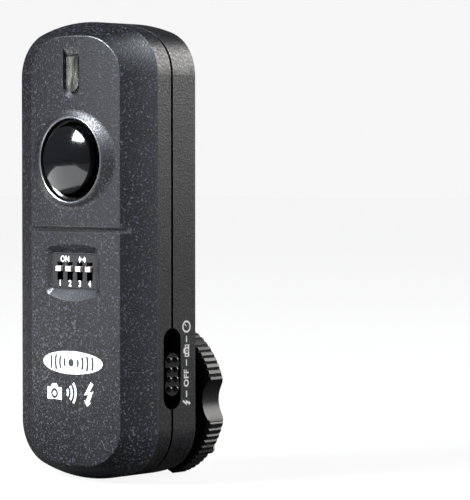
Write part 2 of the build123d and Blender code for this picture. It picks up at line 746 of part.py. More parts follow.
def cutout():
    """Keyhole-shaped window in the metal sole: a narrow top lobe, two shoulders, a waist and two bumps."""
    mid = AXIS_Z
    shape = Pos(0, mid + 6.3) * Circle(1.25)
    shape += Pos(0, mid + 5.3) * Rectangle(2.5, 2.2)
    shape += Pos(0, mid + 2.9) * RectangleRounded(8.4, 3.4, 1.4)
    shape += Pos(0, mid - 1.6) * Rectangle(7.0, 10.0)
    shape += Pos(0, mid - 4.5) * RectangleRounded(8.5, 2.6, 1.2)
    shape += Pos(0, mid - 6.2) * RectangleRounded(6.4, 4.0, 1.3)
    return shape


def foot_plate():
    """Bright metal sole with turned-in edges and four staking dimples."""
    inner = SOLE_Y - FOOT_T
    plate = slab(Pos(0, PLATE_Z) * RectangleRounded(PLATE_W, PLATE_L, 1.1), inner + 0.35, SOLE_Y)
    plate = fillet(plate.faces().sort_by(Axis.Y)[-1].edges(), 0.3)
    hollow = Pos(0, PLATE_Z - PLATE_T / 2) * Rectangle(PLATE_W + 2, PLATE_L - PLATE_T)
    plate -= slab(hollow, inner - 1, SOLE_Y - PLATE_T)
    plate -= slab(cutout(), inner - 1, SOLE_Y + 1)
    for x in (-4.9, 4.9):
        for z in (AXIS_Z + 6.1, AXIS_Z - 6.8):
            plate -= Pos(x, SOLE_Y + 0.75, z) * Sphere(1.0)
    return plate


def foot_base():
    """Black block under the sole; it shows through the window, a little below the metal."""
    inner = SOLE_Y - FOOT_T
    block_l = PLATE_L - PLATE_T - 0.05
    block = Pos(0, PLATE_Z - PLATE_T / 2 - 0.025) * RectangleRounded(PLATE_W - 0.2, block_l, 0.9)
    base = slab(block, inner, SOLE_Y - PLATE_T - 0.02)
    raised = cutout() & Pos(0, PLATE_Z) * Rectangle(PLATE_W, PLATE_L - 3)
    base += slab(raised, SOLE_Y - PLATE_T - 0.1, SOLE_Y - 0.2)
    return base - rod(BALL_R + 0.2, inner - 1, SOLE_Y + 1, 0, AXIS_Z)


def contact_pin():
    """Spring-loaded centre contact with a ball nose."""
    nose = Pos(0, SOLE_Y - 0.35, AXIS_Z) * Sphere(BALL_R)
    shaft = rod(PIN_R, BACK_Y + 2.5, SOLE_Y - 0.5, 0, AXIS_Z)
    collar = rod(PIN_R + 0.9, SOLE_Y - FOOT_T - 2.2, SOLE_Y - FOOT_T - 1.22, 0, AXIS_Z)
    return nose + shaft + collar


def contact_spring():
    """Return spring behind the pin's collar, as its wound outer form."""
    start = BACK_Y + 1.0
    end = SOLE_Y - FOOT_T - 2.22
    coils = 4
    step = (end - start) / coils
    points = []
    for i in range(coils):
        for reach, share in ((1.75, 0.1), (1.95, 0.35), (1.95, 0.65), (1.75, 0.9)):
            points += [(reach, start + step * (i + share))]
    points += [(1.75, end), (PIN_R + 0.2, end), (PIN_R + 0.2, start), (1.75, start)]
    return spun(points, 0, AXIS_Z)


def wheel_face():
    """Wheel seen along its axis: a knurled rim cut by four finger scallops."""
    face = Sketch() + Circle(WHEEL_R)
    for i in range(KNURL_COUNT):
        turn = 360.0 / KNURL_COUNT * i
        face -= Rot(0, 0, turn) * Pos(WHEEL_R + 0.12, 0) * Rot(0, 0, 45) * Rectangle(0.62, 0.62)
    for i in range(4):
        notch = Rot(0, 0, 90.0 * i + SCALLOP_TURN) * Pos(SCALLOP_AT, 0) * Circle(SCALLOP_R)
        face -= notch
    return face


def lock_wheel():
    """Clamping wheel: knurled rim, smooth sloped ring and a recess towards the foot."""
    top = WHEEL_Y + WHEEL_T
    blank = slab(Pos(0, AXIS_Z) * wheel_face(), WHEEL_Y, top)
    limit = spun(
        [
            (WHEEL_BORE_R, WHEEL_Y),
            (WHEEL_R - 0.7, WHEEL_Y),
            (WHEEL_R + 0.01, WHEEL_Y + 0.55),
            (WHEEL_R + 0.01, top - 0.8),
            (WHEEL_R - 0.9, top - 0.12),
            (WHEEL_R - 1.5, top),
            (WHEEL_R - 4.3, top - 0.25),
            (WHEEL_R - 4.7, top - 0.7),
            (WHEEL_R - 4.7, top - 1.9),
            (WHEEL_BORE_R, top - 1.9),
        ],
        0,
        AXIS_Z,
    )
    return blank & limit


def drag_washer():
    """Washer in the wheel's recess; it slides on the stem with the wheel and keeps it from working loose."""
    top = WHEEL_Y + WHEEL_T
    return spun(
        [
            (STEM_R + 0.05, top - 1.88),
            (WHEEL_R - 4.8, top - 1.88),
            (WHEEL_R - 4.8, top - 1.2),
            (WHEEL_R - 5.2, top - 0.9),
            (STEM_R + 0.05, top - 0.9),
        ],
        0,
        AXIS_Z,
    )


def build():
    save("front_shell", front_shell())
    save("back_shell", back_shell())
    save("battery_cover", battery_cover())
    save("led_lens", lens())
    save("status_led", status_led())
    save("button_bezel", button_bezel())
    save("button_cap", button_cap())
    save("tact_switch", tact_switch())
    save("tact_plunger", tact_plunger())
    save("dip_cover", dip_cover())
    save("dip_base", dip_base())
    for i, x in enumerate(dip_places()):
        save(f"dip_lever_{i + 1}", dip_lever(x))
    save("mode_knob", mode_knob())
    save("mode_switch", mode_switch())
    save("sync_jack", sync_jack())
    save("socket_ring", socket_ring())
    save("circuit_board", circuit_board())
    save("board_screws", board_screws())
    save("case_screws", case_screws())
    save("radio_board", radio_board())
    save("radio_can", radio_can())
    save("antenna", antenna())
    save("crystal", crystal())
    save("cell_left", cell(-1))
    save("cell_right", cell(1))
    save("cell_spring_left", cell_spring(-1))
    save("cell_spring_right", cell_spring(1))
    save("contact_plates", contact_plates())
    save("label_plate", label_plate())
    save("foot_stem", foot_stem())
    save("foot_base", foot_base())
    save("foot_plate", foot_plate())
    save("contact_pin", contact_pin())
    save("contact_spring", contact_spring())
    save("lock_wheel", lock_wheel())
    save("drag_washer", drag_washer())


build()
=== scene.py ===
"""Wireless flash trigger: materials, printed marks, wound springs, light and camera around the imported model.

Places come from the frame's node boxes. The casing's front faces -Y, its right side +X and its top +Z.
Lengths on the object are written in millimetres and multiplied by MM; lamps and the floor are in metres.
"""
import math

import bpy
from mathutils import Matrix, Vector


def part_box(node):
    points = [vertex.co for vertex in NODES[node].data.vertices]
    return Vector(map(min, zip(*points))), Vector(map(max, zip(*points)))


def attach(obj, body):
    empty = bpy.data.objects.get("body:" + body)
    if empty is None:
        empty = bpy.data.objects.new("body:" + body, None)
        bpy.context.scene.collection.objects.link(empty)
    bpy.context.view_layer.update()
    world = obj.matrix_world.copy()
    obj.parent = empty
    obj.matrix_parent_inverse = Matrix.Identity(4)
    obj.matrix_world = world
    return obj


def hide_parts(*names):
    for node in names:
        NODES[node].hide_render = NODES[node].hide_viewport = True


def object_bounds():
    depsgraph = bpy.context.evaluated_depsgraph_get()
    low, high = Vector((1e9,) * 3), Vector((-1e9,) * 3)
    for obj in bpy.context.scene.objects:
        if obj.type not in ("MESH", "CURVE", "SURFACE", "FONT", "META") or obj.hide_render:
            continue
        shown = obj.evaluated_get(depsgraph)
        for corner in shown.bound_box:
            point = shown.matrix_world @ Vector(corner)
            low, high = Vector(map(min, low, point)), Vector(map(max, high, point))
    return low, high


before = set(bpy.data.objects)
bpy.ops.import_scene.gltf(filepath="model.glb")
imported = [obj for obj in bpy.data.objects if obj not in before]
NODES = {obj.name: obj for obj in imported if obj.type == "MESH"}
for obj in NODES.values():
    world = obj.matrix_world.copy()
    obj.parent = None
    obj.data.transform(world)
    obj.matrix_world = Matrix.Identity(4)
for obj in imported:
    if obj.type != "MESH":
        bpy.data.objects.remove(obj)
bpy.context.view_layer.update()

MM = 0.001

SHELL_LO, SHELL_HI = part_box("front_shell")
PART_Y = SHELL_HI.y         # plane where the two shells meet
RIGHT_X = SHELL_HI.x
LEFT_X = SHELL_LO.x
MID_Z = (SHELL_LO.z + SHELL_HI.z) / 2

PRINT = 0.014 * MM          # how far the pad printing stands off its surface
LABEL_T = 0.12 * MM         # thickness of the oval label
FACE_R = 68.9 * MM          # the front face is part of a cylinder of this radius, bowed across its width
PRESS = 0.62 * MM           # just over the centre contact's travel: its coil is wound at its pressed length
SIGN_HALF_W = 6.0 * MM      # box of painted shade round the cover's sunk signs: half its width
SIGN_DEEP = 0.7 * MM        # and how far below the cover's face it ends
SIGN_SKIN = 0.06 * MM       # and begins


# ---------------------------------------------------------------- node helpers
class Nodes:
    """A material's node tree with short calls for the few node types used here."""

    def __init__(self, name):
        self.mat = bpy.data.materials.new(name)
        self.mat.use_nodes = True
        self.tree = self.mat.node_tree
        self.shader = self.tree.nodes["Principled BSDF"]
        self.coords = self.add("ShaderNodeTexCoord").outputs["Object"]

    def add(self, kind, **values):
        node = self.tree.nodes.new(kind)
        for key, value in values.items():
            setattr(node, key, value)
        return node

    def link(self, source, target):
        self.tree.links.new(source, target)

    def plain(self, **values):
        """Values that are the same all over go straight on the shader's sockets."""
        for key, value in values.items():
            self.shader.inputs[key.replace("_", " ")].default_value = value

    def stretched(self, scale):
        node = self.add("ShaderNodeMapping")
        node.inputs["Scale"].default_value = scale
        self.link(self.coords, node.inputs["Vector"])
        return node.outputs["Vector"]

    def noise(self, scale, detail=2.0, rough=0.5, vector=None):
        node = self.add("ShaderNodeTexNoise")
        node.inputs["Scale"].default_value = scale
        node.inputs["Detail"].default_value = detail
        node.inputs["Roughness"].default_value = rough
        self.link(vector or self.coords, node.inputs["Vector"])
        return node.outputs["Fac"]

    def cells(self, scale):
        node = self.add("ShaderNodeTexVoronoi")
        node.inputs["Scale"].default_value = scale
        self.link(self.coords, node.inputs["Vector"])
        return node.outputs["Distance"]

    def ramp(self, fac, *stops):
        node = self.add("ShaderNodeValToRGB")
        ramp = node.color_ramp
        while len(ramp.elements) < len(stops):
            ramp.elements.new(0.5)
        for element, (place, colour) in zip(ramp.elements, stops):
            element.position = place
            element.color = (*colour, 1.0) if len(colour) == 3 else colour
        self.link(fac, node.inputs["Fac"])
        return node.outputs["Color"]

    def span(self, fac, low, high, start=0.0, end=1.0):
        """Map a value that runs from start to end onto low to high, held at both ends."""
        node = self.add("ShaderNodeMapRange")
        for key, value in (("From Min", start), ("From Max", end), ("To Min", low), ("To Max", high)):
            node.inputs[key].default_value = value
        self.link(fac, node.inputs["Value"])
        return node.outputs["Result"]

    def feed(self, socket, value):
        """Link another node's output to a socket, or set the socket to a plain value."""
        if isinstance(value, bpy.types.NodeSocket):
            self.link(value, socket)
        else:
            socket.default_value = value

    def mix(self, fac, first, second):
        node = self.add("ShaderNodeMix", data_type="RGBA")
        for key, value in (("Factor", fac), ("A", first), ("B", second)):
            self.feed(node.inputs[key], value)
        return node.outputs["Result"]

    def math(self, kind, first, second):
        node = self.add("ShaderNodeMath", operation=kind)
        self.feed(node.inputs[0], first)
        self.feed(node.inputs[1], second)
        return node.outputs["Value"]

    def axes(self):
        """The place on the object as separate X, Y and Z outputs."""
        node = self.add("ShaderNodeSeparateXYZ")
        self.link(self.coords, node.inputs["Vector"])
        return node.outputs

    def edges(self, radius):
        """1 along outside edges and 0 on flat faces, from how much a small bevel would turn the normal."""
        bevel = self.add("ShaderNodeBevel", samples=4)
        bevel.inputs["Radius"].default_value = radius
        geometry = self.add("ShaderNodeNewGeometry")
        dot = self.add("ShaderNodeVectorMath", operation="DOT_PRODUCT")
        self.link(bevel.outputs["Normal"], dot.inputs[0])
        self.link(geometry.outputs["Normal"], dot.inputs[1])
        return self.span(dot.outputs["Value"], 1.0, 0.0, 0.9, 0.995)

    def bump(self, *layers):
        """Height layers as (source, strength, depth in mm), one on top of the other."""
        normal = None
        for source, strength, depth in layers:
            node = self.add("ShaderNodeBump")
            node.inputs["Strength"].default_value = strength
            node.inputs["Distance"].default_value = depth * MM
            self.link(source, node.inputs["Height"])
            if normal is not None:
                self.link(normal, node.inputs["Normal"])
            normal = node.outputs["Normal"]
        self.link(normal, self.shader.inputs["Normal"])

    def colour(self, source):
        self.link(source, self.shader.inputs["Base Color"])

    def roughness(self, source):
        self.link(source, self.shader.inputs["Roughness"])


# ---------------------------------------------------------------- materials
def casing_plastic(name, sunk=None):
    """Black ABS with fine spark-eroded grain, a little smoother where hands rub the edges, and lighter along
    the edges as a painted highlight.

    sunk gives the low and high corner of a box whose surfaces get painted shade, a darker colour and weaker
    reflection, for signs moulded into the face.
    """
    n = Nodes(name)
    grain = n.noise(2600, 2.0, 0.6)
    pits = n.cells(4600)
    cloud = n.noise(55, 2.0)
    speck = n.ramp(grain, (0.42, (0.0006, 0.0006, 0.0008)), (0.50, (0.0028, 0.0029, 0.0036)),
                   (0.58, (0.0130, 0.0135, 0.0160)), (0.68, (0.075, 0.078, 0.090)))
    wear_and_highlight_edge = n.edges(0.35 * MM)
    # Painted highlight: the colour turns lighter grey along the edges, for the light line their fillets catch;
    # the smoother edges below are wear.
    tone = n.mix(n.math("MULTIPLY", wear_and_highlight_edge, 0.5), speck, (0.055, 0.055, 0.060, 1.0))
    if sunk:
        place = n.axes()
        inside = 1.0
        for axis, low, high in zip("XYZ", *sunk):
            above = n.math("GREATER_THAN", place[axis], low)
            below = n.math("LESS_THAN", place[axis], high)
            inside = n.math("MULTIPLY", inside, n.math("MULTIPLY", above, below))
        # Painted shade: inside the box the sunk signs' surfaces turn near black and reflect less.
        tone = n.mix(inside, tone, (0.0012, 0.0012, 0.0014, 1.0))
        n.link(n.span(inside, 0.48, 0.15), n.shader.inputs["Specular IOR Level"])
    n.colour(tone)
    rough = n.math("ADD", n.span(grain, 0.52, 0.26, 0.35, 0.65), n.span(cloud, -0.04, 0.05))
    n.roughness(n.math("SUBTRACT", rough, n.math("MULTIPLY", wear_and_highlight_edge, 0.08)))
    n.bump((grain, 0.40, 0.10), (pits, 0.12, 0.05), (cloud, 0.05, 0.3))
    if not sunk:
        n.plain(Specular_IOR_Level=0.48)
    return n.mat


def sign_shade_box():
    """Box round the floors of the arrow, bar and letters sunk into the battery cover's flat face, where the
    cover is painted with shade.
    """
    lo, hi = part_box("battery_cover")
    low = (-SIGN_HALF_W, hi.y - SIGN_DEEP, lo.z)
    high = (SIGN_HALF_W, hi.y - SIGN_SKIN, (lo.z + hi.z) / 2)
    return low, high


def gloss_black():
    """Polished black plastic: faint ripples and hairline scratches."""
    n = Nodes("gloss_black")
    ripple = n.noise(140, 1.0)
    hair = n.noise(900, 4.0, 0.8, n.stretched((1.0, 1.0, 14.0)))
    n.colour(n.ramp(hair, (0.3, (0.0035, 0.0036, 0.004)), (0.8, (0.008, 0.008, 0.009))))
    n.roughness(n.span(hair, 0.06, 0.16, 0.4, 0.75))
    n.bump((ripple, 0.05, 0.06), (hair, 0.03, 0.01))
    n.plain(Specular_IOR_Level=0.55)
    return n.mat


def wheel_plastic():
    """Semi-gloss black for the wheel, with worn crests on the knurls."""
    n = Nodes("wheel_plastic")
    fine = n.noise(2400, 3.0, 0.6)
    cloud = n.noise(90, 2.0)
    wear_and_highlight_edge = n.edges(0.22 * MM)
    base = n.ramp(fine, (0.3, (0.004, 0.004, 0.0045)), (0.75, (0.011, 0.011, 0.012)))
    n.colour(n.mix(n.math("MULTIPLY", wear_and_highlight_edge, 0.3), base, (0.03, 0.03, 0.031, 1.0)))
    n.roughness(n.span(cloud, 0.28, 0.40, 0.3, 0.7))
    n.bump((fine, 0.10, 0.02), (cloud, 0.06, 0.1))
    n.plain(Specular_IOR_Level=0.34)
    return n.mat


def bezel_plastic():
    """Black ring whose front rim is painted bright grey and partly metallic, a painted highlight on its edge.
    """
    n = Nodes("bezel_plastic")
    hair = n.noise(1500, 3.0, 0.7)
    rim_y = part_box("button_bezel")[0].y
    rim_highlight = n.span(n.axes()["Y"], 1.0, 0.0, rim_y + 0.03 * MM, rim_y + 0.16 * MM)
    black = n.ramp(hair, (0.3, (0.004, 0.004, 0.004)), (0.8, (0.010, 0.010, 0.011)))
    # Painted highlight: the front rim's colour turns bright grey and partly metallic, for the light line on
    # the bevelled rim.
    n.colour(n.mix(rim_highlight, black, (0.33, 0.33, 0.33, 1.0)))
    n.link(n.math("MULTIPLY", rim_highlight, 0.85), n.shader.inputs["Metallic"])
    n.roughness(n.math("ADD", n.span(hair, 0.16, 0.26, 0.4, 0.7), n.math("MULTIPLY", rim_highlight, 0.10)))
    n.bump((hair, 0.04, 0.01))
    return n.mat


def matte_black(name, low, high, scale=2600):
    """Fine-grained black plastic between two tones."""
    n = Nodes(name)
    fine = n.noise(scale, 3.0, 0.65)
    cloud = n.noise(70, 2.0)
    n.colour(n.ramp(fine, (0.34, low), (0.68, high)))
    n.roughness(n.math("ADD", n.span(fine, 0.45, 0.6, 0.3, 0.7), n.span(cloud, -0.05, 0.05)))
    n.bump((fine, 0.22, 0.04))
    return n.mat


def ivory_plastic():
    """Moulded ivory of the code levers, warmer and darker in random patches."""
    n = Nodes("ivory_plastic")
    cloud = n.noise(700, 3.0)
    fine = n.noise(4200, 2.0)
    n.colour(n.ramp(cloud, (0.3, (0.80, 0.75, 0.64)), (0.7, (0.93, 0.91, 0.86))))
    n.roughness(n.span(fine, 0.3, 0.42, 0.3, 0.7))
    n.bump((fine, 0.1, 0.02))
    n.plain(Subsurface_Weight=0.08, Subsurface_Scale=0.6 * MM)
    return n.mat


def white_print():
    """Pad-printed white ink: slightly uneven and a touch thin in places."""
    n = Nodes("white_print")
    fine = n.noise(5200, 3.0, 0.7)
    cloud = n.noise(420, 2.0)
    ink = n.ramp(cloud, (0.25, (0.78, 0.79, 0.80)), (0.75, (0.92, 0.92, 0.92)))
    n.colour(n.mix(n.span(fine, 0.0, 0.12, 0.62, 0.8), ink, (0.35, 0.35, 0.37, 1.0)))
    n.roughness(n.span(fine, 0.38, 0.55, 0.3, 0.7))
    n.bump((fine, 0.12, 0.02))
    return n.mat


def dark_print():
    """Dark ink of the sign on the oval label."""
    n = Nodes("dark_print")
    fine = n.noise(5200, 3.0, 0.7)
    n.colour(n.ramp(fine, (0.3, (0.012, 0.013, 0.018)), (0.8, (0.05, 0.052, 0.06))))
    n.roughness(n.span(fine, 0.4, 0.55, 0.3, 0.7))
    n.bump((fine, 0.1, 0.02))
    return n.mat


def clear_plastic():
    """Clear light pipe with streaks from its moulding along it; in its colour the streaks are painted
    reflections, dark to near white.
    """
    n = Nodes("clear_plastic")
    flow_and_glint = n.noise(520, 3.0, 0.6, n.stretched((2.6, 2.6, 0.5)))
    # Painted reflection: the colour runs in streaks from dark grey to near white, for the highlights and dark
    # bands the pipe mirrors; the bumps and roughness are the moulding's streaks.
    n.colour(n.ramp(flow_and_glint, (0.34, (0.16, 0.165, 0.14)), (0.50, (0.42, 0.43, 0.37)),
                    (0.64, (0.95, 0.95, 0.86))))
    n.roughness(n.span(flow_and_glint, 0.02, 0.08, 0.3, 0.7))
    n.bump((flow_and_glint, 0.5, 0.12))
    n.plain(Transmission_Weight=0.85, IOR=1.52, Specular_IOR_Level=0.8)
    return n.mat


def led_plastic():
    """Cloudy resin of the diode behind the light pipe."""
    n = Nodes("led_plastic")
    cloud = n.noise(1600, 3.0)
    n.colour(n.ramp(cloud, (0.3, (0.12, 0.11, 0.075)), (0.7, (0.22, 0.21, 0.165))))
    n.roughness(n.span(cloud, 0.25, 0.45, 0.3, 0.7))
    n.bump((cloud, 0.15, 0.03))
    return n.mat


def metal(name, low, high, rough, grain, stretch, wear=0.0, metallic=1.0):
    """Metal with drawn grain: grain is the noise scale, stretch draws it out along an axis.

    wear is how much brighter worn edges get, and a metallic under 1 stands for a dull plating.
    """
    n = Nodes(name)
    lines = n.noise(grain, 4.0, 0.7, n.stretched(stretch))
    cloud = n.noise(160, 3.0)
    tone = n.ramp(lines, (0.32, low), (0.7, high))
    wear_and_highlight_edge = n.edges(0.2 * MM)
    bright = [min(1.0, 1.08 * share) for share in high]
    n.colour(n.mix(n.math("MULTIPLY", wear_and_highlight_edge, wear), tone, (*bright, 1.0)))
    drawn = n.span(lines, rough * 0.75, rough * 1.25, 0.3, 0.7)
    n.roughness(n.math("ADD", drawn, n.span(cloud, -0.04, 0.05)))
    n.bump((lines, 0.10, 0.015), (cloud, 0.03, 0.08))
    n.plain(Metallic=metallic)
    return n.mat


def board_mask():
    """Green solder mask over copper tracks."""
    n = Nodes("board_mask")
    tracks = n.add("ShaderNodeTexBrick")
    tracks.inputs["Scale"].default_value = 420
    tracks.inputs["Mortar Size"].default_value = 0.06
    n.link(n.stretched((1.0, 0.01, 1.0)), tracks.inputs["Vector"])
    cloud = n.noise(900, 3.0)
    green = n.ramp(cloud, (0.3, (0.010, 0.075, 0.030)), (0.7, (0.018, 0.120, 0.050)))
    n.colour(n.mix(tracks.outputs["Fac"], green, (0.05, 0.20, 0.07, 1.0)))
    n.roughness(n.span(cloud, 0.2, 0.34, 0.3, 0.7))
    n.bump((tracks.outputs["Fac"], 0.3, 0.03))
    return n.mat


def cell_jacket():
    """Plain foil jacket: a dark barrel with a copper-coloured band at the positive end.

    The left cell stands with that end up, the right one with it down.
    """
    n = Nodes("cell_jacket")
    lo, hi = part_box("cell_left")
    place = n.axes()
    side = n.span(place["X"], 0.0, 1.0, -0.1 * MM, 0.1 * MM)
    rise = n.span(place["Z"], 0.0, 1.0, lo.z, hi.z)
    fine = n.noise(1800, 3.0)
    dark, band_tone, bare = (0.02, 0.02, 0.024), (0.55, 0.27, 0.12), (0.62, 0.62, 0.6)
    up = n.ramp(rise, (0.0, dark), (0.70, dark), (0.705, band_tone), (0.955, band_tone), (0.96, bare))
    down = n.ramp(rise, (0.0, bare), (0.04, bare), (0.045, band_tone), (0.29, band_tone), (0.295, dark))
    n.colour(n.mix(side, up, down))
    n.roughness(n.span(fine, 0.22, 0.34, 0.3, 0.7))
    n.bump((fine, 0.06, 0.02))
    n.plain(Metallic=0.75)
    return n.mat


MATERIALS = {
    "casing": casing_plastic("casing_plastic"),
    "cover": casing_plastic("cover_plastic", sign_shade_box()),
    "gloss": gloss_black(),
    "wheel": wheel_plastic(),
    "bezel": bezel_plastic(),
    "switch": matte_black("switch_plastic", (0.003, 0.003, 0.0035), (0.012, 0.012, 0.0135), 3400),
    "inner": matte_black("inner_plastic", (0.006, 0.006, 0.007), (0.018, 0.018, 0.020)),
    "sole": matte_black("sole_plastic", (0.010, 0.0105, 0.012), (0.028, 0.029, 0.033), 3600),
    "ivory": ivory_plastic(),
    "white": white_print(),
    "dark": dark_print(),
    "clear": clear_plastic(),
    "led": led_plastic(),
    "foot": metal("foot_metal", (0.88, 0.83, 0.74), (0.99, 0.96, 0.89), 0.42, 900, (0.35, 6, 9), 0.5),
    "ring": metal("ring_metal", (0.84, 0.83, 0.78), (0.99, 0.98, 0.94), 0.36, 1400, (1, 1, 1), 0.3, 0.45),
    "chrome": metal("ball_chrome", (0.72, 0.71, 0.68), (0.92, 0.91, 0.88), 0.13, 900, (1, 1, 1)),
    "steel": metal("screw_steel", (0.42, 0.41, 0.39), (0.66, 0.65, 0.62), 0.30, 1600, (1, 1, 1), 0.3),
    "tin": metal("tinned_steel", (0.55, 0.55, 0.54), (0.72, 0.72, 0.70), 0.32, 1200, (1, 1, 5), 0.3),
    "nickel": metal("nickel_plate", (0.66, 0.64, 0.60), (0.84, 0.82, 0.78), 0.22, 1500, (1, 1, 4), 0.3),
    "copper": metal("enamelled_wire", (0.55, 0.22, 0.08), (0.78, 0.38, 0.16), 0.24, 1200, (1, 1, 1)),
    "board": board_mask(),
    "cell": cell_jacket(),
}

FINISH = {
    "casing": ("front_shell", "back_shell"),
    "cover": ("battery_cover",),
    "gloss": ("button_cap", "mode_knob"),
    "wheel": ("lock_wheel",),
    "bezel": ("button_bezel",),
    "switch": ("dip_cover",),
    "inner": ("dip_base", "tact_plunger", "sync_jack", "mode_switch", "foot_stem", "drag_washer"),
    "sole": ("foot_base",),
    "ivory": ("dip_lever_1", "dip_lever_2", "dip_lever_3", "dip_lever_4"),
    "white": ("label_plate",),
    "clear": ("led_lens",),
    "led": ("status_led",),
    "foot": ("foot_plate",),
    "ring": ("socket_ring",),
    "chrome": ("contact_pin",),
    "steel": ("board_screws", "case_screws", "contact_spring"),
    "tin": ("tact_switch", "radio_can", "crystal"),
    "nickel": ("cell_spring_left", "cell_spring_right", "contact_plates"),
    "copper": ("antenna",),
    "board": ("circuit_board", "radio_board"),
    "cell": ("cell_left", "cell_right"),
}
for key, names in FINISH.items():
    for name in names:
        for slot in NODES[name].material_slots:
            slot.material = MATERIALS[key]


# ---------------------------------------------------------------- printed marks
class Face:
    """A side of the object to print on: origin, reading direction, the letters' up direction and its bow."""

    def __init__(self, body, slot, origin, right, up, bow_radius=None):
        self.body = body
        self.slot = slot
        self.bow_radius = bow_radius
        self.origin = Vector(origin)
        self.right = Vector(right)
        self.up = Vector(up)
        self.out = self.right.cross(self.up)

    def matrix(self, x, z, turn=0.0):
        """Place x, z in mm on this face, with the mark turned by a number of degrees."""
        base = Matrix((self.right, self.up, self.out)).transposed().to_4x4()
        spot = self.origin + self.right * (x * MM) + self.up * (z * MM) + self.out * PRINT
        return Matrix.Translation(spot) @ base @ Matrix.Rotation(math.radians(turn), 4, "Z")

    def settle(self, mesh):
        """Lower the points of a mark, already in the frame, onto the bow of the face."""
        if self.bow_radius is None:
            return
        for vertex in mesh.vertices:
            drop = self.bow_radius - math.sqrt(self.bow_radius**2 - vertex.co.x**2)
            vertex.co -= self.out * drop


LABEL_LO, LABEL_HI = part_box("label_plate")
FACE_Y = LABEL_LO.y + LABEL_T        # highest line of the bowed face, under the thin label
FRONT = Face("casing", "label", (0, FACE_Y, MID_Z), (1, 0, 0), (0, 0, 1), FACE_R)
OVAL = Face("casing", "label", (0, LABEL_LO.y, (LABEL_LO.z + LABEL_HI.z) / 2), (1, 0, 0), (0, 0, 1), FACE_R)
DIP_LO, DIP_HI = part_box("dip_cover")
SWITCH = Face("casing", "label", (0, DIP_LO.y, (DIP_LO.z + DIP_HI.z) / 2), (1, 0, 0), (0, 0, 1))
RIGHT = Face("casing", "label", (RIGHT_X, PART_Y, MID_Z), (0, 1, 0), (0, 0, 1))
LEFT = Face("casing", "label", (LEFT_X, PART_Y, MID_Z), (0, -1, 0), (0, 0, 1))


CAPITAL = 0.72              # capital height as a share of the font's size


def flat_curve(name):
    """Empty curve whose closed loops are filled."""
    curve = bpy.data.curves.new(name, "CURVE")
    curve.dimensions = "2D"
    curve.fill_mode = "BOTH"
    curve.resolution_u = 8
    return curve


def add_loop(curve, points):
    """Closed straight-sided outline from (x, z) points in mm; a loop inside another is a hole."""
    spline = curve.splines.new("POLY")
    spline.points.add(len(points) - 1)
    for point, (x, z) in zip(spline.points, points):
        point.co = (x * MM, z * MM, 0, 1)
    spline.use_cyclic_u = True


def arc(cx, cz, radius, start, end, steps=20):
    """Points along an arc, angles in degrees anticlockwise from the right."""
    turns = [math.radians(start + (end - start) * i / steps) for i in range(steps + 1)]
    return [(cx + radius * math.cos(a), cz + radius * math.sin(a)) for a in turns]


def circle(cx, cz, radius):
    """Sixty points round a centre, 6 degrees apart."""
    return arc(cx, cz, radius, 0, 354, 59)


def bar(cx, cz, width, height):
    """Corners of a rectangle about a centre."""
    return [(cx + sx * width / 2, cz + sz * height / 2) for sx, sz in ((-1, -1), (1, -1), (1, 1), (-1, 1))]


def band(cx, cz, radius, width, start, end):
    """Part of a ring, of the given line width."""
    outer = arc(cx, cz, radius + width / 2, start, end)
    inner = arc(cx, cz, radius - width / 2, end, start)
    return outer + inner


def finish_mark(obj, face, place, key):
    """Turn a flat curve or text into a thin mesh on its face and fasten it to the body."""
    bpy.context.collection.objects.link(obj)
    bpy.context.view_layer.update()
    mesh = bpy.data.meshes.new_from_object(obj.evaluated_get(bpy.context.evaluated_depsgraph_get()))
    made = bpy.data.objects.new(obj.name + "_ink", mesh)
    bpy.data.objects.remove(obj)
    mesh.materials.clear()
    mesh.materials.append(MATERIALS[key])
    mesh.transform(place)
    face.settle(mesh)
    bpy.context.collection.objects.link(made)
    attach(made, face.body)


def glyph(name, face, x, z, loops, key="white", turn=0.0):
    """Printed sign made of closed loops, about a place on a face."""
    curve = flat_curve(name)
    for loop in loops:
        add_loop(curve, loop)
    finish_mark(bpy.data.objects.new(name, curve), face, face.matrix(x, z, turn), key)


def text(name, words, face, x, z, size, turn=0.0, weight=0.0, spacing=1.0, squeeze=1.0):
    """White words centred on a place; size is the capital height in mm."""
    font = bpy.data.curves.new(name, "FONT")
    font.body = words
    font.align_x = "CENTER"
    font.align_y = "CENTER"
    font.size = size * MM / CAPITAL
    font.offset = weight * MM
    font.space_character = spacing
    font.resolution_u = 6
    place = face.matrix(x, z, turn) @ Matrix.Diagonal((squeeze, 1, 1, 1))
    finish_mark(bpy.data.objects.new(name, font), face, place, "white")


def bolt(size):
    """Flash arrow pointing down, drawn about its centre."""
    shape = [(0.10, 0.50), (-0.26, -0.06), (-0.03, -0.02), (-0.16, -0.30), (-0.26, -0.26), (-0.10, -0.52),
             (0.14, -0.36), (0.03, -0.34), (0.26, 0.12), (0.03, 0.08), (0.26, 0.42)]
    return [(x * size, z * size) for x, z in shape]


def waves(radii, width, spread):
    """Radio arcs to the left and right of a centre."""
    loops = []
    for radius in radii:
        loops.append(band(0, 0, radius, width, -spread, spread))
        loops.append(band(0, 0, radius, width, 180 - spread, 180 + spread))
    return loops


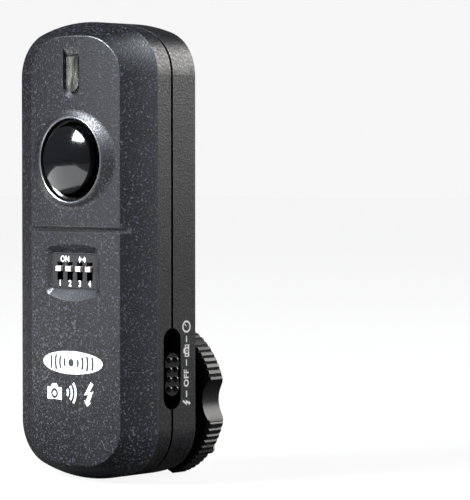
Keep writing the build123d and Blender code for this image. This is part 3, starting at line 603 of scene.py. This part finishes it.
def front_marks():
    """Generic radio sign on the oval; in a row under it a camera, radio arcs and a flash arrow."""
    for side, middle in (("left", 180), ("right", 0)):
        for i, (radius, spread) in enumerate(((1.75, 23), (2.95, 22), (4.15, 19), (5.35, 13))):
            loop = band(0, 0, radius, 0.46, middle - spread, middle + spread)
            glyph(f"oval_wave_{i + 1}_{side}", OVAL, 0, 0, [loop], "dark")
    glyph("oval_dot", OVAL, 0, 0, [circle(0, 0, 0.7)], "dark")
    row_z = -25.95              # mm over the casing's middle
    body = [(-2.0, -1.45), (2.0, -1.45), (2.0, 0.85), (1.0, 0.85), (0.65, 1.5), (-0.65, 1.5), (-1.0, 0.85),
            (-2.0, 0.85)]
    glyph("sign_camera", FRONT, -4.6, row_z, [body, circle(0, -0.3, 0.95), circle(0, -0.3, 0.5)])
    for i, radius in enumerate((1.0, 2.0, 3.0)):
        glyph(f"sign_wave_{i + 1}", FRONT, -1.95, row_z, [band(0, 0, radius, 0.5, -38, 38)])
    glyph("sign_flash", FRONT, 4.3, row_z, [bolt(4.4)])


def switch_marks():
    """ON, a small radio sign and the lever numbers, printed on the switch's own face."""
    pitch = 2.54                # mm from lever to lever
    text("switch_on", "ON", SWITCH, -2.55, 2.18, 1.15, weight=0.03, spacing=1.05, squeeze=0.9)
    glyph("switch_waves", SWITCH, 1.9, 2.2, waves((0.42, 0.78), 0.2, 42) + [circle(0, 0, 0.16)])
    for i in range(4):
        text(f"switch_{i + 1}", str(i + 1), SWITCH, (i - 1.5) * pitch, -2.28, 1.15, weight=0.04)


def side_marks():
    """Legend beside the slide switch, each sign turned so that its top is towards the front."""
    column = 3.8                # mm behind the plane where the shells meet
    clock_z = -13.6             # mm over the casing's middle
    glyph("legend_clock", RIGHT, column, clock_z, [circle(0, 0, 1.12), circle(0, 0, 0.78)], turn=90)
    hand = [(-0.09, -0.1), (0.16, 0.0), (0.72, 0.62), (0.55, 0.74)]
    glyph("legend_hand", RIGHT, column, clock_z, [hand], turn=90)
    for i, z in enumerate((-15.85, -20.15, -25.85)):
        glyph(f"legend_dash_{i + 1}", RIGHT, column, z, [bar(0, 0, 0.3, 1.15)])
    body = [(-1.12, -0.72), (1.12, -0.72), (1.12, 0.45), (0.55, 0.45), (0.36, 0.82), (-0.36, 0.82),
            (-0.55, 0.45), (-1.12, 0.45)]
    holes = [circle(0, -0.12, 0.42), bar(-0.8, -0.1, 0.3, 0.5), bar(0.8, -0.1, 0.3, 0.5)]
    glyph("legend_camera", RIGHT, column, -18.0, [body] + holes + [circle(0, -0.12, 0.17)], turn=90)
    text("legend_off", "OFF", RIGHT, column, -23.0, 1.25, turn=90, weight=0.05, spacing=1.08)
    glyph("legend_flash", RIGHT, column, -27.45, [bolt(2.1)], turn=90)
    text("legend_pc", "PC", LEFT, -3.6, -23.9, 1.35, turn=-90, weight=0.04, spacing=1.15)


front_marks()
switch_marks()
side_marks()


# ---------------------------------------------------------------- wound springs and aerial
CELL_WIRE = 0.22 * MM       # radius of the wire in each kind of coil
CONTACT_WIRE = 0.16 * MM
AERIAL_WIRE = 0.25 * MM


def wire(name, points, radius, key, replaces):
    """Round wire fixed to the casing, along (x, y, z) points in metres; key names its material and slot."""
    curve = bpy.data.curves.new(name, "CURVE")
    curve.dimensions = "3D"
    curve.bevel_depth = radius
    curve.bevel_resolution = 3
    curve.use_fill_caps = True
    spline = curve.splines.new("POLY")
    spline.points.add(len(points) - 1)
    for point, place in zip(spline.points, points):
        point.co = (*place, 1)
    source = bpy.data.objects.new(name + "_path", curve)
    bpy.context.collection.objects.link(source)
    bpy.context.view_layer.update()
    mesh = bpy.data.meshes.new_from_object(source.evaluated_get(bpy.context.evaluated_depsgraph_get()))
    bpy.data.objects.remove(source)
    mesh.materials.clear()
    mesh.materials.append(MATERIALS[key])
    mesh.polygons.foreach_set("use_smooth", [True] * len(mesh.polygons))
    made = bpy.data.objects.new(name, mesh)
    bpy.context.collection.objects.link(made)
    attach(made, "casing")
    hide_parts(replaces)


def helix(axis, start, end, centre, radius_start, radius_end, turns, steps=36):
    """Points of a coil round the x, y or z axis; centre is its place in the other two, in order."""
    points = []
    count = int(turns * steps)
    for i in range(count + 1):
        share = i / count
        a = 2 * math.pi * turns * share
        r = radius_start + (radius_end - radius_start) * share
        place = [centre[0] + r * math.cos(a), centre[1] + r * math.sin(a)]
        place.insert("xyz".index(axis), start + (end - start) * share)
        points.append(tuple(place))
    return points


def springs():
    """Real coils in place of the plain outer forms that the CAD model has, each within its form's box.

    A cell's spring is wide at its contact plate and narrows towards the cell.
    """
    for side in ("left", "right"):
        lo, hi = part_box(f"cell_spring_{side}")
        cell_lo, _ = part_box(f"cell_{side}")
        thin = CELL_WIRE
        wide = (hi.x - lo.x) / 2 - thin
        start, end = lo.z + thin, hi.z - thin
        if cell_lo.z < lo.z:
            start, end = end, start
        centre = ((lo.x + hi.x) / 2, (lo.y + hi.y) / 2)
        path = helix("z", start, end, centre, wide, 0.5 * wide, 4.5)
        wire(f"coil_{side}", path, thin, "nickel", f"cell_spring_{side}")
    lo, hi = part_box("contact_spring")
    thin = CONTACT_WIRE
    wide = (hi.x - lo.x) / 2 - thin
    centre = ((lo.x + hi.x) / 2, (lo.z + hi.z) / 2)
    path = helix("y", lo.y + thin, hi.y - thin - PRESS, centre, wide, wide, 6)
    wire("coil_contact", path, thin, "steel", "contact_spring")
    lo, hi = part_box("antenna")
    thin = AERIAL_WIRE
    wide = (hi.z - lo.z) / 2 - thin
    centre = ((lo.y + hi.y) / 2, (lo.z + hi.z) / 2)
    path = helix("x", lo.x + thin, hi.x - thin, centre, wide, wide, 9)
    wire("aerial_coil", path, thin, "copper", "antenna")


springs()


# ---------------------------------------------------------------- floor and backdrop
def stage_material():
    """Pale paper that the camera sees as bright as the backdrop, and that hardly lights the object."""
    n = Nodes("pale_floor")
    cloud = n.noise(3.0, 2.0)
    n.colour(n.ramp(cloud, (0.3, (0.055, 0.055, 0.055)), (0.7, (0.065, 0.065, 0.065))))
    n.roughness(n.span(cloud, 0.6, 0.75))
    seen = n.add("ShaderNodeLightPath").outputs["Is Camera Ray"]
    n.link(n.math("MULTIPLY", seen, 0.91), n.shader.inputs["Emission Strength"])
    n.plain(Emission_Color=(1, 1, 1, 1), Specular_IOR_Level=0.1)
    return n.mat


FLOOR_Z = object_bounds()[0].z  # height of the object's lowest point
FLOOR_GAP = 0.02 * MM       # how far under it the floor lies
FLOOR_HALF = 3.0            # m, half the floor's width


def stage():
    """Pale floor just under the lowest point of the object."""
    mesh = bpy.data.meshes.new("floor")
    corners = [(x * FLOOR_HALF, y * FLOOR_HALF, 0) for x, y in ((-1, -1), (1, -1), (1, 1), (-1, 1))]
    mesh.from_pydata(corners, [], [(0, 1, 2, 3)])
    mesh.materials.append(stage_material())
    floor = bpy.data.objects.new("floor", mesh)
    floor.location = (0, 0, FLOOR_Z - FLOOR_GAP)
    bpy.context.collection.objects.link(floor)


stage()


# ---------------------------------------------------------------- light
CENTRE = Vector((0, PART_Y, MID_Z))
LAMP_FAR = 0.70             # m from the casing's middle to a lamp
CARD_SIZE = (0.34, 0.40)    # m, across and along
CARD_PLACE = (-0.21, -0.24)
CARD_OVER = 2 * MM          # the card's height over the floor


def around(azimuth, elevation, distance):
    """Place round the casing's middle; azimuth 0 is in front of it and 90 on its right."""
    a, e = math.radians(azimuth), math.radians(elevation)
    return CENTRE + distance * Vector((math.sin(a) * math.cos(e), -math.cos(a) * math.cos(e), math.sin(e)))


def panel(name, width, height, power, colour):
    """Rectangular area lamp, not yet placed."""
    light = bpy.data.lights.new(name, "AREA")
    light.shape = "RECTANGLE"
    light.size = width
    light.size_y = height
    light.energy = power
    light.color = colour
    lamp = bpy.data.objects.new(name, light)
    bpy.context.collection.objects.link(lamp)
    return lamp


def softbox(name, azimuth, elevation, size, power, colour):
    """Lamp turned to the casing's middle."""
    lamp = panel(name, *size, power, colour)
    lamp.location = around(azimuth, elevation, LAMP_FAR)
    lamp.rotation_mode = "QUATERNION"
    lamp.rotation_quaternion = (lamp.location - CENTRE).to_track_quat("Z", "Y")


def low_card():
    """Bright sheet lying on the floor at the left front: the dome and the front face mirror it."""
    lamp = panel("low_card", *CARD_SIZE, 1.1, (1.0, 1.0, 1.0))
    lamp.location = (*CARD_PLACE, FLOOR_Z + CARD_OVER)
    lamp.rotation_euler = (math.pi, 0, math.radians(-30))
    lamp.visible_camera = False


softbox("key_front", -21, 34, (0.22, 0.22), 15.5, (0.88, 0.93, 1.0))
softbox("key_back", 147, 27, (0.50, 0.50), 7.0, (1.0, 0.985, 0.97))
low_card()


def studio_world():
    """Soft grey room; what the camera sees past the floor is pale."""
    world = bpy.data.worlds.new("studio")
    world.use_nodes = True
    tree = world.node_tree
    back = tree.nodes["Background"]
    coords = tree.nodes.new("ShaderNodeTexCoord")
    split = tree.nodes.new("ShaderNodeSeparateXYZ")
    ramp = tree.nodes.new("ShaderNodeValToRGB")
    ramp.color_ramp.elements[0].position = 0.0
    ramp.color_ramp.elements[0].color = (0.020, 0.021, 0.024, 1)
    ramp.color_ramp.elements[1].position = 0.9
    ramp.color_ramp.elements[1].color = (0.040, 0.042, 0.050, 1)
    tree.links.new(coords.outputs["Generated"], split.inputs["Vector"])
    tree.links.new(split.outputs["Z"], ramp.inputs["Fac"])
    tree.links.new(ramp.outputs["Color"], back.inputs["Color"])
    pale = tree.nodes.new("ShaderNodeBackground")
    pale.inputs["Color"].default_value = (0.93, 0.93, 0.93, 1)
    path = tree.nodes.new("ShaderNodeLightPath")
    mix = tree.nodes.new("ShaderNodeMixShader")
    tree.links.new(path.outputs["Is Camera Ray"], mix.inputs["Fac"])
    tree.links.new(back.outputs["Background"], mix.inputs[1])
    tree.links.new(pale.outputs["Background"], mix.inputs[2])
    tree.links.new(mix.outputs["Shader"], tree.nodes["World Output"].inputs["Surface"])
    bpy.context.scene.world = world


studio_world()
bpy.context.scene.view_settings.view_transform = "Standard"


# ---------------------------------------------------------------- camera
LENS = 187.2                # mm, over a sensor 36 mm wide
CAMERA_TURN = 44.4          # degrees round from the front, towards the right side
CAMERA_DOWN = 3.44          # degrees it looks down
CAMERA_FAR = 482.7          # mm from the aim point's plane
CAMERA_RIGHT = 1.15         # mm right of the casing's middle
CAMERA_LOW = -12.67         # mm over the casing's middle, before the rise that looking down gives
ASIDE = 23.4                # mm that the view is centred further right, so the casing stands on the left


def camera():
    """Long lens at the right front, a little above."""
    data = bpy.data.cameras.new("camera")
    data.lens = LENS
    data.sensor_width = 36.0
    cam = bpy.data.objects.new("camera", data)
    turn, down = math.radians(CAMERA_TURN), math.radians(CAMERA_DOWN)
    right = Vector((math.cos(turn), math.sin(turn), 0))
    level = Vector((math.sin(turn), -math.cos(turn), 0))
    back = level * math.cos(down) + Vector((0, 0, math.sin(down)))
    foot = CENTRE + right * (CAMERA_RIGHT * MM) + Vector((0, 0, CAMERA_LOW * MM))
    cam.location = foot + back * (CAMERA_FAR * MM)
    aim = CENTRE + right * ((CAMERA_RIGHT + ASIDE) * MM)
    cam.rotation_mode = "QUATERNION"
    cam.rotation_quaternion = (cam.location - aim).to_track_quat("Z", "Y")
    data.clip_start = 0.01
    data.clip_end = 20.0
    bpy.context.collection.objects.link(cam)
    bpy.context.scene.camera = cam


camera()
